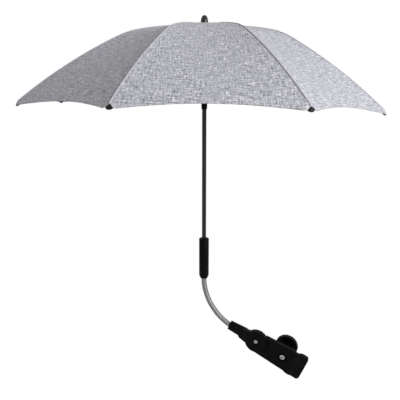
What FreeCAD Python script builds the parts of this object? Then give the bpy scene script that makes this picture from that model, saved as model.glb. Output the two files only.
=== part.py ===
import FreeCAD, Part
import math
import os

from FreeCAD import Placement, Rotation, Vector

# Driving dimensions in millimetres, angles in degrees
SIZES = {
    # Fits and cuts
    "running_fit": 0.08,
    "seat_fit": 0.05,
    "side_clearance": 0.3,
    "cut_overrun": 2.0,
    # Clamp jaws, measured from the arm's hinge along the jaw
    "tube_diameter": 19.0,
    "pad_thickness": 2.0,
    "jaw_angle": 22.0,
    "jaw_thickness": 8.0,
    "jaw_gap": 9.0,
    "jaw_root_width": 46.3,
    "jaw_end_width": 57.5,
    "jaw_lip": 26.0,
    "jaw_corner_radius": 7.0,
    "jaw_arch_wall": 4.0,
    "tube_reach": 86.0,
    "rear_jaw_width": 24.0,
    "hinge_rise": 1.6,
    "lug_thickness": 8.0,
    "lug_diameter": 32.0,
    "lug_gap": 2.0,
    "pin_shift": 0.75,
    "jaw_pin_diameter": 4.0,
    "knuckle_diameter": 8.0,
    "knuckle_width": 9.0,
    "ear_width": 4.0,
    # Clamping bolt and knob
    "bolt_offset": 23.0,
    "bolt_diameter": 8.0,
    "bolt_length": 55.0,
    "bolt_head_diameter": 10.5,
    "bolt_head_height": 3.2,
    "bolt_socket_diameter": 6.0,
    "bolt_socket_depth": 2.0,
    "bolt_recess_diameter": 22.0,
    "bolt_recess_depth": 3.6,
    "bolt_slot_length": 17.0,
    "knob_washer_diameter": 18.0,
    "knob_washer_thickness": 2.0,
    "knob_diameter": 49.0,
    "knob_hub_diameter": 18.0,
    "knob_hub_height": 18.0,
    "knob_grip_height": 10.0,
    "knob_rim": 2.5,
    "knob_dish_depth": 6.0,
    "knob_flute_diameter": 5.0,
    "knob_flute_depth": 0.7,
    # Arm that holds the neck and turns on the clamp
    "arm_angle": 28.2,
    "arm_reach": 66.0,
    "arm_rise": 8.5,
    "arm_root_width": 36.0,
    "disc_diameter": 49.0,
    "disc_thickness": 10.0,
    "disc_pocket_gap": 2.0,
    "socket_diameter": 20.4,
    "socket_root_diameter": 24.0,
    "socket_length": 36.0,
    "neck_socket_depth": 20.0,
    "hinge_bolt_diameter": 6.0,
    "hinge_head_diameter": 10.0,
    "hinge_head_height": 2.6,
    "hinge_recess_diameter": 15.0,
    "hinge_recess_depth": 2.8,
    "hinge_nut_diameter": 11.0,
    "hinge_nut_height": 4.5,
    # Flexible neck and the sleeve above it
    "neck_diameter": 11.0,
    "neck_radius": 116.0,
    "sleeve_diameter": 21.2,
    "sleeve_length": 90.8,
    "sleeve_taper_height": 7.2,
    "sleeve_taper_diameter": 16.0,
    "sleeve_rim_height": 1.2,
    "sleeve_rim_diameter": 19.4,
    "sleeve_pole_depth": 60.0,
    "sleeve_neck_depth": 14.0,
    # Pole, with heights measured from just under the level rib tips
    "pole_diameter": 9.0,
    "pole_wall": 0.9,
    "pole_free_length": 284.1,
    "pole_top_height": 160.0,
    "stop_pin_height": 50.6,
    "stop_pin_diameter": 2.0,
    "stop_pin_length": 12.0,
    # Runner
    "runner_bottom_height": -10.3,
    "runner_top_height": 49.0,
    "runner_diameter": 11.6,
    "runner_bead_height": -4.0,
    "runner_bead_diameter": 12.8,
    "runner_bead_length": 1.4,
    "runner_flange_diameter": 29.0,
    "runner_flange_thickness": 9.0,
    "runner_hinge_radius": 9.5,
    "runner_hinge_height": 40.0,
    # Notch, its ring, the crown washer and the finial
    "notch_diameter": 25.0,
    "notch_height": 8.5,
    "notch_rim": 2.0,
    "notch_hinge_radius": 8.0,
    "notch_drop": 16.0,
    "notch_ring_diameter": 1.6,
    "crown_washer_diameter": 24.0,
    "crown_washer_thickness": 1.6,
    "finial_diameter": 14.6,
    "finial_height": 18.0,
    "finial_straight": 6.0,
    # Ribs, rib ends, tips and stretchers
    "rib_joint_radius": 150.0,
    "rib_joint_drop": 32.5,
    "rib_tip_radius": 351.0,
    "rib_tip_height": 2.0,
    "droop_angle": 4.85,
    "rib_bow": 4.4,
    "rib_end_bow": 8.0,
    "rib_depth": 4.0,
    "rib_thickness": 2.0,
    "rib_hole_diameter": 2.0,
    "rivet_diameter": 1.84,
    "rivet_head_diameter": 3.6,
    "rivet_head_height": 0.8,
    "tip_cap_length": 12.0,
    "tip_cap_width": 13.0,
    "tip_cap_thickness": 5.6,
    "tip_cap_nose": 3.5,
    "tip_cap_show": 10.0,
    # Canopy cloth, drawn thicker than the woven sheet
    "cloth_thickness": 1.0,
    "cloth_gap": 1.4,
    "hem_rise": 8.0,
    "crown_hole_radius": 5.4,
}

# Extra bend of each rib at its joint: one corner of the canopy hangs lower than the others
DROOP_SHARES = (1.0, 0.3, 0.0, 0.0, 0.0, 0.0, 0.0, 0.2)
RIB_COUNT = len(DROOP_SHARES)
FLUTE_COUNT = 24
NECK_SPANS = 3

doc = FreeCAD.newDocument("PramParasol")
sheet = doc.addObject("Spreadsheet::Sheet", "Sizes")
for row, (alias, value) in enumerate(SIZES.items(), start=1):
    sheet.set(f"A{row}", alias)
    sheet.set(f"B{row}", str(value))
    sheet.setAlias(f"B{row}", alias)
doc.recompute()


class Sheet:
    """The driving dimensions, read back from the document's sheet."""

    def __getattr__(self, alias):
        return float(getattr(sheet, alias))


size = Sheet()
nodes = {}


def node(label, item):
    """Register a finished piece: its label names its file."""
    item.Label = label
    nodes[label] = item
    return item


def bind(item, **expressions):
    """Bind properties of a document object to the sheet; a bare word is an alias of the sheet."""
    for name, text in expressions.items():
        words = text.replace("(", " ( ").replace(")", " ) ").split()
        item.setExpression(name, " ".join("Sizes." + word if word in SIZES else word for word in words))
    return item


X_AXIS = Vector(1, 0, 0)
Y_AXIS = Vector(0, 1, 0)
Z_AXIS = Vector(0, 0, 1)
ALONG_Z = Rotation()
ALONG_X = Rotation(Y_AXIS, 90)
ALONG_Y = Rotation(X_AXIS, -90)
FLIPPED = Rotation(X_AXIS, 180)


def cylinder(name, radius, height, base, turn=ALONG_Z):
    item = doc.addObject("Part::Cylinder", name)
    item.Placement = Placement(base, turn)
    return bind(item, Radius=radius, Height=height)


def cone(name, lower, upper, height, base, turn=ALONG_Z):
    item = doc.addObject("Part::Cone", name)
    item.Placement = Placement(base, turn)
    return bind(item, Radius1=lower, Radius2=upper, Height=height)


def box(name, length, width, height, base, turn=ALONG_Z):
    item = doc.addObject("Part::Box", name)
    item.Placement = Placement(base, turn)
    return bind(item, Length=length, Width=width, Height=height)


def sphere(name, radius, base):
    item = doc.addObject("Part::Sphere", name)
    item.Placement = Placement(base, ALONG_Z)
    return bind(item, Radius=radius)


def fuse(name, *items):
    item = doc.addObject("Part::MultiFuse", name)
    item.Shapes = list(items)
    return item


def cut(name, base, *tools):
    """The base less all tools."""
    item = doc.addObject("Part::Cut", name)
    item.Base = base
    item.Tool = tools[0] if len(tools) == 1 else fuse(name + "_tools", *tools)
    return item


def common(name, base, tool):
    item = doc.addObject("Part::Common", name)
    item.Base = base
    item.Tool = tool
    return item


def hull(circles):
    """Outline round circles (x, z, radius), given counter-clockwise: tangent lines joined by arcs."""
    count = len(circles)
    lines = []
    for index in range(count):
        (xa, za, ra), (xb, zb, rb) = circles[index], circles[(index + 1) % count]
        heading = math.atan2(zb - za, xb - xa)
        normal = heading - math.acos((ra - rb) / math.hypot(xb - xa, zb - za))
        lines.append((normal, Vector(xa + ra * math.cos(normal), za + ra * math.sin(normal), 0),
                      Vector(xb + rb * math.cos(normal), zb + rb * math.sin(normal), 0)))
    outline = []
    for index, (x, z, radius) in enumerate(circles):
        start = lines[index - 1][0]
        stop = lines[index][0]
        while stop < start:
            stop += 2 * math.pi
        ring = Part.Circle(Vector(x, z, 0), Z_AXIS, radius)
        outline.append(Part.ArcOfCircle(ring, start, stop))
        outline.append(Part.LineSegment(lines[index][1], lines[index][2]))
    return outline


def bowed_band(start, stop, bow, depth):
    """Outline of a bar along an arc from start to stop, bowed upwards, with round ends."""
    chord = stop - start
    span = chord.Length
    up = Vector(-chord.y, chord.x, 0) / span
    radius = (span * span / 4 + bow * bow) / (2 * bow)
    centre = (start + stop) / 2 - up * (radius - bow)
    first = math.atan2(start.y - centre.y, start.x - centre.x)
    last = math.atan2(stop.y - centre.y, stop.x - centre.x)
    half = depth / 2
    outer = Part.Circle(centre, Z_AXIS, radius + half)
    inner = Part.Circle(centre, Z_AXIS, radius - half)
    return [
        Part.ArcOfCircle(outer, last, first),
        Part.ArcOfCircle(Part.Circle(start, Z_AXIS, half), first, first + math.pi),
        Part.ArcOfCircle(inner, last, first),
        Part.ArcOfCircle(Part.Circle(stop, Z_AXIS, half), last - math.pi, last),
    ]


def hole(centre, diameter):
    return Part.Circle(centre, Z_AXIS, diameter / 2)


def padded(name, outline, thickness, symmetric=False):
    """A body padded from an outline in the XZ plane, towards -Y or both ways."""
    body = doc.addObject("PartDesign::Body", name)
    plane = next(item for item in body.Origin.OriginFeatures if item.Role == "XZ_Plane")
    sketch = body.newObject("Sketcher::SketchObject", name + "_outline")
    sketch.AttachmentSupport = [(plane, "")]
    sketch.MapMode = "FlatFace"
    sketch.addGeometry(outline, False)
    pad = body.newObject("PartDesign::Pad", name + "_pad")
    pad.Profile = sketch
    pad.SideType = "Symmetric" if symmetric else "One side"
    bind(pad, Length=thickness)
    body.Tip = pad
    return body


# Frames of the sub-assemblies: the origin is the centre of the gripped tube
tube_depth = size.jaw_gap / 2
jaw_turn = Rotation(Y_AXIS, size.jaw_angle)
jaw_frame = Placement(jaw_turn.multVec(Vector(-size.tube_reach, -tube_depth, 0)), jaw_turn)
hinge_place = Vector(0, 0, size.hinge_rise)
hinge_point = jaw_frame.multVec(hinge_place)
arm_turn = Rotation(Y_AXIS, size.arm_angle)
neck_end = hinge_point - arm_turn.multVec(Vector(size.arm_reach, 0, size.arm_rise))
arm_frame = Placement(neck_end, arm_turn)
neck_turn = math.radians(90 - size.arm_angle)
neck_centre = neck_end + Vector(math.cos(neck_turn), 0, math.sin(neck_turn)) * size.neck_radius
sleeve_base = neck_centre - Vector(size.neck_radius, 0, 0)
sleeve_frame = Placement(sleeve_base, ALONG_Z)
pole_base = sleeve_base + Vector(0, 0, size.sleeve_length + size.pole_free_length)
pole_frame = Placement(pole_base, ALONG_Z)


def placed(item, frame):
    item.Placement = frame.multiply(item.Placement)
    return item


# Clamp jaws: tapered plates arched over the tube, lined with rubber
jaw_root_half = size.jaw_root_width / 2
jaw_end_half = size.jaw_end_width / 2
jaw_length = size.tube_reach + size.jaw_lip
corner = size.jaw_corner_radius
jaw_end_corners = [
    (jaw_length - corner, corner - jaw_end_half, corner),
    (jaw_length - corner, jaw_end_half - corner, corner),
]
front_circles = [(0, 0, jaw_root_half)] + jaw_end_corners
bolt_reach = size.tube_reach - size.bolt_offset
pocket_radius = size.disc_diameter / 2 + size.disc_pocket_gap
pin_reach = (pocket_radius + bolt_reach) / 2 - size.pin_shift
knuckle_start = pin_reach - size.knuckle_diameter / 2
rear_first_x = knuckle_start + corner
rear_last_x = jaw_length - corner
rear_side_z = size.rear_jaw_width / 2 - corner
rear_circles = [(rear_first_x, -rear_side_z, corner), (rear_last_x, -rear_side_z, corner),
                (rear_last_x, rear_side_z, corner), (rear_first_x, rear_side_z, corner)]
tube_place = Vector(size.tube_reach, tube_depth, -size.jaw_end_width)
bolt_place = Vector(bolt_reach, 0, 0)
pin_place = Vector(pin_reach, tube_depth, 0)
jaw_back = size.jaw_gap + size.jaw_thickness


def jaw_shell(name, circles, frame):
    """A jaw's plate with the arch over the tube; the plate grows away from the other jaw."""
    plate = placed(padded(name + "_plate", hull(circles), "jaw_thickness"), frame)
    envelope = placed(padded(name + "_envelope", hull(circles), "jaw_thickness + tube_diameter"), frame)
    rod = cylinder(name + "_arch_rod", "tube_diameter / 2 + pad_thickness + jaw_arch_wall",
                   "jaw_end_width * 2", tube_place)
    return fuse(name + "_shell", plate, common(name + "_arch", envelope, rod))


def tube_rod(name, radius):
    return cylinder(name, radius, "jaw_end_width * 2", tube_place)


def pad_liner(name, circles, frame):
    """Rubber liner between the tube and a jaw's arch."""
    envelope = placed(padded(name + "_envelope", hull(circles), "jaw_thickness + tube_diameter"), frame)
    ring = cut(name + "_ring", tube_rod(name + "_outside", "tube_diameter / 2 + pad_thickness"),
               tube_rod(name + "_inside", "tube_diameter / 2"))
    return common(name, envelope, ring)


front_side = Placement()
rear_side = Placement(Vector(0, size.jaw_gap, 0), FLIPPED)

lug_radius = size.lug_diameter / 2
lug_reach = knuckle_start - size.lug_gap - lug_radius
front_lug = padded("front_lug", hull([(0, 0, lug_radius), (lug_reach, 0, lug_radius)]), "lug_thickness")
front_lug.Placement.Base.y = size.lug_thickness
ear_inner = size.knuckle_width / 2 + size.side_clearance
ears = []
for side, low_z in (("upper", ear_inner), ("lower", -ear_inner - size.ear_width)):
    ear_base = Vector(knuckle_start, 0, low_z)
    ears.append(box(f"{side}_ear_block", "knuckle_diameter", "jaw_gap / 2", "ear_width", ear_base))
    ears.append(cylinder(f"{side}_ear_eye", "knuckle_diameter / 2", "ear_width",
                         Vector(pin_reach, tube_depth, low_z)))
pin_low = pin_place - Vector(0, 0, ear_inner + size.ear_width)
front_outside = hinge_place - Vector(0, size.jaw_thickness + size.tube_diameter, 0)
front_jaw = cut(
    "front_jaw",
    fuse("front_jaw_whole", jaw_shell("front_jaw", front_circles, front_side), front_lug, *ears),
    tube_rod("front_jaw_recess", "tube_diameter / 2 + pad_thickness"),
    cylinder("disc_pocket", "disc_diameter / 2 + disc_pocket_gap",
             "jaw_thickness + tube_diameter + side_clearance", front_outside, ALONG_Y),
    cylinder("hinge_hole", "hinge_bolt_diameter / 2 + seat_fit", "lug_thickness * 2 + cut_overrun",
             hinge_place - Vector(0, size.lug_thickness, 0), ALONG_Y),
    cylinder("bolt_hole", "bolt_diameter / 2 + seat_fit", "jaw_thickness + cut_overrun",
             bolt_place - Vector(0, size.jaw_thickness, 0), ALONG_Y),
    cylinder("bolt_recess", "bolt_recess_diameter / 2", "bolt_recess_depth + cut_overrun",
             bolt_place - Vector(0, size.jaw_thickness + size.cut_overrun, 0), ALONG_Y),
    cylinder("ear_pin_hole", "jaw_pin_diameter / 2 + seat_fit",
             "( ear_width + side_clearance ) * 2 + knuckle_width", pin_low),
)
node("front_jaw", placed(front_jaw, jaw_frame))

knuckle_base = Vector(pin_reach, tube_depth, -size.knuckle_width / 2)
knuckle_block_base = knuckle_base - Vector(size.knuckle_diameter / 2, 0, 0)
slot_base = bolt_place + Vector(size.bolt_diameter / 2 - size.bolt_slot_length / 2, size.jaw_gap, 0)
slot_base -= Vector(size.bolt_diameter / 2, size.cut_overrun, size.bolt_diameter / 2 + size.side_clearance)
rear_jaw = cut(
    "rear_jaw",
    fuse("rear_jaw_whole", jaw_shell("rear_jaw", rear_circles, rear_side),
         box("knuckle_block", "knuckle_diameter", "jaw_gap / 2", "knuckle_width",
             knuckle_block_base),
         cylinder("knuckle_eye", "knuckle_diameter / 2", "knuckle_width", knuckle_base)),
    tube_rod("rear_jaw_recess", "tube_diameter / 2 + pad_thickness"),
    box("bolt_slot", "bolt_slot_length", "jaw_thickness + cut_overrun * 2",
        "bolt_diameter + side_clearance * 2", slot_base),
    cylinder("knuckle_pin_hole", "jaw_pin_diameter / 2 + running_fit", "knuckle_width", knuckle_base),
)
node("rear_jaw", placed(rear_jaw, jaw_frame))

node("front_pad", placed(pad_liner("front_pad", front_circles, front_side), jaw_frame))
node("rear_pad", placed(pad_liner("rear_pad", rear_circles, rear_side), jaw_frame))

jaw_pin = cylinder("jaw_pin", "jaw_pin_diameter / 2",
                   "( ear_width + side_clearance ) * 2 + knuckle_width", pin_low)
node("jaw_pin", placed(jaw_pin, jaw_frame))

# Clamping bolt, its washer and the knob that draws the rear jaw in
bolt_seat = bolt_place - Vector(0, size.jaw_thickness - size.bolt_recess_depth, 0)
bolt_face = bolt_seat - Vector(0, size.bolt_head_height, 0)
bolt_socket = doc.addObject("Part::Prism", "bolt_socket")
bolt_socket.Polygon = 6
bolt_socket.Placement = Placement(bolt_face, ALONG_Y)
bind(bolt_socket, Circumradius="bolt_socket_diameter / 2", Height="bolt_socket_depth")
clamp_bolt = cut(
    "clamp_bolt",
    fuse("clamp_bolt_whole",
         cylinder("bolt_shank", "bolt_diameter / 2", "bolt_length", bolt_seat, ALONG_Y),
         cylinder("bolt_head", "bolt_head_diameter / 2", "bolt_head_height", bolt_face, ALONG_Y)),
    bolt_socket,
)
node("clamp_bolt", placed(clamp_bolt, jaw_frame))

washer_place = bolt_place + Vector(0, jaw_back, 0)
knob_washer = cut(
    "knob_washer",
    cylinder("knob_washer_disc", "knob_washer_diameter / 2", "knob_washer_thickness", washer_place, ALONG_Y),
    cylinder("knob_washer_hole", "bolt_diameter / 2 + running_fit", "knob_washer_thickness", washer_place,
             ALONG_Y),
)
node("knob_washer", placed(knob_washer, jaw_frame))

knob_place = washer_place + Vector(0, size.knob_washer_thickness, 0)
grip_place = knob_place + Vector(0, size.knob_hub_height, 0)
flute_reach = (size.knob_diameter + size.knob_flute_diameter) / 2 - size.knob_flute_depth
flutes = []
for index in range(FLUTE_COUNT):
    turn = 2 * math.pi * index / FLUTE_COUNT
    offset = Vector(flute_reach * math.cos(turn), 0, flute_reach * math.sin(turn))
    flutes.append(cylinder(f"knob_flute_{index + 1}", "knob_flute_diameter / 2", "knob_grip_height",
                           grip_place + offset, ALONG_Y))
knob = cut(
    "knob",
    fuse("knob_whole",
         cylinder("knob_hub", "knob_hub_diameter / 2", "knob_hub_height + knob_dish_depth", knob_place,
                  ALONG_Y),
         cut("knob_grip_dished",
             cylinder("knob_grip", "knob_diameter / 2", "knob_grip_height", grip_place, ALONG_Y),
             cone("knob_dish", "knob_diameter / 2 - knob_rim", "knob_hub_diameter / 2",
                  "knob_dish_depth", grip_place, ALONG_Y))),
    cylinder("knob_bore", "bolt_diameter / 2 + running_fit", "knob_hub_height + knob_grip_height", knob_place,
             ALONG_Y),
    *flutes,
)
node("knob", placed(knob, jaw_frame))

# Arm: a round disc on the clamp's hinge and a tapered socket for the neck
disc_place = Vector(size.arm_reach, 0, size.arm_rise)
disc_front = disc_place - Vector(0, size.disc_thickness, 0)
arm_line = disc_place / disc_place.Length
line_turn = Rotation(Y_AXIS, -math.degrees(math.atan2(arm_line.z, arm_line.x)))
socket_stop = arm_line * size.socket_length
arm_web = padded("arm_web", hull([(disc_place.x, disc_place.z, size.arm_root_width / 2),
                                  (socket_stop.x, socket_stop.z, size.socket_root_diameter / 2)]),
                 "disc_thickness")
socket_arm = cut(
    "socket_arm",
    fuse("socket_arm_whole", arm_web,
         cylinder("arm_disc", "disc_diameter / 2", "disc_thickness", disc_front, ALONG_Y),
         cone("socket", "socket_diameter / 2", "socket_root_diameter / 2", "socket_length", Vector(),
              line_turn * ALONG_X),
         sphere("socket_end", "socket_root_diameter / 2", socket_stop)),
    cylinder("neck_socket", "neck_diameter / 2 + seat_fit", "neck_socket_depth + cut_overrun",
             Vector(-size.cut_overrun, 0, 0), ALONG_X),
    cylinder("arm_hinge_hole", "hinge_bolt_diameter / 2 + running_fit", "disc_thickness", disc_front,
             ALONG_Y),
    cylinder("hinge_recess", "hinge_recess_diameter / 2", "hinge_recess_depth", disc_front, ALONG_Y),
)
node("socket_arm", placed(socket_arm, arm_frame))

head_seat = hinge_place + Vector(0, size.hinge_recess_depth - size.disc_thickness, 0)
nut_place = hinge_place + Vector(0, size.lug_thickness, 0)
hinge_bolt = fuse(
    "hinge_bolt",
    cylinder("hinge_shank", "hinge_bolt_diameter / 2",
             "disc_thickness - hinge_recess_depth + lug_thickness + hinge_nut_height", head_seat, ALONG_Y),
    cone("hinge_head", "hinge_head_diameter / 2 - hinge_head_height / 3", "hinge_head_diameter / 2",
         "hinge_head_height", head_seat - Vector(0, size.hinge_head_height, 0), ALONG_Y),
)
node("hinge_bolt", placed(hinge_bolt, jaw_frame))
nut_prism = doc.addObject("Part::Prism", "hinge_nut_prism")
nut_prism.Polygon = 6
nut_prism.Placement = Placement(nut_place, ALONG_Y)
bind(nut_prism, Circumradius="hinge_nut_diameter / 2", Height="hinge_nut_height")
hinge_nut = cut("hinge_nut", nut_prism, cylinder("hinge_nut_hole", "hinge_bolt_diameter / 2 + seat_fit",
                                                 "hinge_nut_height", nut_place, ALONG_Y))
node("hinge_nut", placed(hinge_nut, jaw_frame))


# Flexible neck in three spans of one bend, with a stub in the sleeve and one in the socket
def neck_span(name, index):
    """One span of the bend; the turn counts from the sleeve downwards."""
    start = neck_turn * index / NECK_SPANS
    outward = Vector(-math.cos(start), 0, -math.sin(start))
    onward = Vector(math.sin(start), 0, -math.cos(start))
    item = doc.addObject("Part::Torus", name)
    item.Placement = Placement(neck_centre, Rotation(outward, onward, Vector(0, -1, 0), "ZXY"))
    return bind(item, Radius1="neck_radius", Radius2="neck_diameter / 2",
                Angle3=f"( 90 - arm_angle ) / {NECK_SPANS}")


upper_stub = cylinder("neck_upper_stub", "neck_diameter / 2", "sleeve_neck_depth", sleeve_base)
node("gooseneck_upper", fuse("gooseneck_upper", neck_span("neck_span_upper", 0), upper_stub))
node("gooseneck_middle", neck_span("gooseneck_middle", 1))
lower_stub = placed(cylinder("neck_lower_stub", "neck_diameter / 2", "neck_socket_depth", Vector(), ALONG_X),
                    arm_frame)
node("gooseneck_lower", fuse("gooseneck_lower", neck_span("neck_span_lower", 2), lower_stub))

# Sleeve that joins the neck and the pole
rim_z = size.sleeve_length - size.sleeve_rim_height
sleeve = cut(
    "sleeve",
    fuse("sleeve_whole",
         cone("sleeve_taper", "sleeve_taper_diameter / 2", "sleeve_diameter / 2", "sleeve_taper_height",
              Vector()),
         cylinder("sleeve_barrel", "sleeve_diameter / 2",
                  "sleeve_length - sleeve_taper_height - sleeve_rim_height",
                  Vector(0, 0, size.sleeve_taper_height)),
         cone("sleeve_rim", "sleeve_diameter / 2", "sleeve_rim_diameter / 2", "sleeve_rim_height",
              Vector(0, 0, rim_z))),
    cylinder("sleeve_pole_bore", "pole_diameter / 2 + running_fit", "sleeve_pole_depth + cut_overrun",
             Vector(0, 0, size.sleeve_length - size.sleeve_pole_depth)),
    cylinder("sleeve_neck_bore", "neck_diameter / 2 + seat_fit", "sleeve_neck_depth", Vector()),
)
node("sleeve", placed(sleeve, sleeve_frame))

# Pole and the pin that stops the runner
pole_foot = Vector(0, 0, -size.pole_free_length - size.sleeve_pole_depth)
pole_length = "pole_free_length + sleeve_pole_depth + pole_top_height"
stop_pin_base = Vector(0, -size.stop_pin_length / 2, size.stop_pin_height)
pole = cut(
    "pole",
    cylinder("pole_outside", "pole_diameter / 2", pole_length, pole_foot),
    cylinder("pole_inside", "pole_diameter / 2 - pole_wall", pole_length, pole_foot),
    cylinder("stop_pin_hole", "stop_pin_diameter / 2 + seat_fit", "stop_pin_length", stop_pin_base, ALONG_Y),
)
node("pole", placed(pole, pole_frame))
stop_pin = cylinder("stop_pin", "stop_pin_diameter / 2", "stop_pin_length", stop_pin_base, ALONG_Y)
node("stop_pin", placed(stop_pin, pole_frame))


# Radial slots for the hinged ends of ribs and stretchers
def radial_slots(name, floor_radius, sideways, low_z, height):
    """Open slots at every rib angle, shifted sideways from the rib's plane."""
    slots = []
    low = Vector(floor_radius, sideways - size.rib_thickness / 2 - size.side_clearance, low_z)
    for index in range(RIB_COUNT):
        turn = Rotation(Z_AXIS, 360 * index / RIB_COUNT)
        slots.append(box(f"{name}_{index + 1}", "runner_flange_diameter",
                         "rib_thickness + side_clearance * 2", height, turn.multVec(low), turn))
    return slots


# Ribs, rib ends and stretchers lie side by side on one rivet
layer_step = size.rib_thickness + size.side_clearance
eye_radius = size.rib_depth / 2

# Runner: a tube with a slotted flange for the feet of the stretchers
flange_low = size.runner_hinge_height - size.runner_flange_thickness / 2
runner_floor = size.runner_hinge_radius - eye_radius - size.side_clearance
runner = cut(
    "runner",
    fuse("runner_whole",
         cylinder("runner_tube", "runner_diameter / 2", "runner_top_height - runner_bottom_height",
                  Vector(0, 0, size.runner_bottom_height)),
         cylinder("runner_bead", "runner_bead_diameter / 2", "runner_bead_length",
                  Vector(0, 0, size.runner_bead_height)),
         cylinder("runner_flange", "runner_flange_diameter / 2", "runner_flange_thickness",
                  Vector(0, 0, flange_low))),
    cylinder("runner_bore", "pole_diameter / 2 + running_fit", "runner_top_height - runner_bottom_height",
             Vector(0, 0, size.runner_bottom_height)),
    *radial_slots("runner_slot", runner_floor, -layer_step, flange_low, "runner_flange_thickness"),
)
node("runner", placed(runner, pole_frame))

# Notch with its ring, which the inner ends of the ribs turn on
notch_floor = size.notch_hinge_radius - eye_radius - size.side_clearance
notch_hinge_height = size.pole_top_height - size.notch_drop
notch_bottom = notch_hinge_height + size.notch_rim - size.notch_height
notch_low = Vector(0, 0, notch_bottom)
ring_place = Vector(0, 0, notch_hinge_height)


def ring_torus(name, clearance):
    item = doc.addObject("Part::Torus", name)
    item.Placement = Placement(ring_place, ALONG_Z)
    return bind(item, Radius1="notch_hinge_radius", Radius2=f"notch_ring_diameter / 2 + {clearance}")


notch = cut(
    "notch",
    cylinder("notch_disc", "notch_diameter / 2", "notch_height", notch_low),
    cylinder("notch_bore", "pole_diameter / 2 + seat_fit", "notch_height", notch_low),
    ring_torus("notch_ring_groove", "seat_fit"),
    *radial_slots("notch_slot", notch_floor, 0, notch_bottom, "notch_height"),
)
node("notch", placed(notch, pole_frame))
node("notch_ring", placed(ring_torus("notch_ring", "0"), pole_frame))

# Crown washer on the cloth and the finial above it
cloth_rise = eye_radius + size.cloth_gap
washer_low = notch_hinge_height + cloth_rise + size.cloth_thickness + size.side_clearance
crown_washer = cut(
    "crown_washer",
    cylinder("crown_washer_disc", "crown_washer_diameter / 2", "crown_washer_thickness",
             Vector(0, 0, washer_low)),
    cylinder("crown_washer_hole", "pole_diameter / 2 + seat_fit", "crown_washer_thickness",
             Vector(0, 0, washer_low)),
)
node("crown_washer", placed(crown_washer, pole_frame))
finial_low = Vector(0, 0, washer_low + size.crown_washer_thickness)
finial_dome = doc.addObject("Part::Ellipsoid", "finial_dome")
finial_dome.Placement = Placement(finial_low + Vector(0, 0, size.finial_straight), ALONG_Z)
bind(finial_dome, Radius1="finial_height - finial_straight", Radius2="finial_diameter / 2",
     Radius3="finial_diameter / 2")
finial = cut(
    "finial",
    fuse("finial_whole",
         common("finial_nose", finial_dome,
                cylinder("finial_nose_room", "finial_diameter", "finial_height",
                         finial_low + Vector(0, 0, size.finial_straight))),
         cylinder("finial_barrel", "finial_diameter / 2", "finial_straight", finial_low)),
    cylinder("finial_bore", "pole_diameter / 2 + seat_fit",
             f"pole_top_height - {finial_low.z} + side_clearance", finial_low),
)
node("finial", placed(finial, pole_frame))

# Points of one rib in its radial plane: distance from the pole and height
rib_hinge = Vector(size.notch_hinge_radius, notch_hinge_height, 0)
rib_joint = Vector(size.rib_joint_radius, size.pole_top_height - size.rib_joint_drop, 0)
level_tip = Vector(size.rib_tip_radius, size.rib_tip_height, 0)
rib_tips = []
for share in DROOP_SHARES:
    droop = Rotation(Z_AXIS, -size.droop_angle * share)
    rib_tips.append(rib_joint + droop.multVec(level_tip - rib_joint))
stretcher_foot = Vector(size.runner_hinge_radius, size.runner_hinge_height, 0)


def bow_point(start, stop, bow):
    """Middle of an arc that is bowed upwards over its chord."""
    chord = stop - start
    return (start + stop) / 2 + Vector(-chord.y, chord.x, 0) * (bow / chord.Length)


def tip_heading(rib_tip):
    """Direction of a bowed rib end where it meets its tip."""
    chord = rib_tip - rib_joint
    slope = math.atan2(chord.y, chord.x) - 2 * math.atan(2 * size.rib_end_bow / chord.Length)
    return Vector(math.cos(slope), math.sin(slope), 0)


rivet_reach = layer_step + size.rib_thickness / 2 + size.side_clearance
rivet_low = Vector(rib_joint.x, -rivet_reach, rib_joint.y)
rivet_high = Vector(rib_joint.x, rivet_reach, rib_joint.y)


def stretcher_outline():
    return hull([(stretcher_foot.x, stretcher_foot.y, eye_radius), (rib_joint.x, rib_joint.y, eye_radius)])


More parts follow.
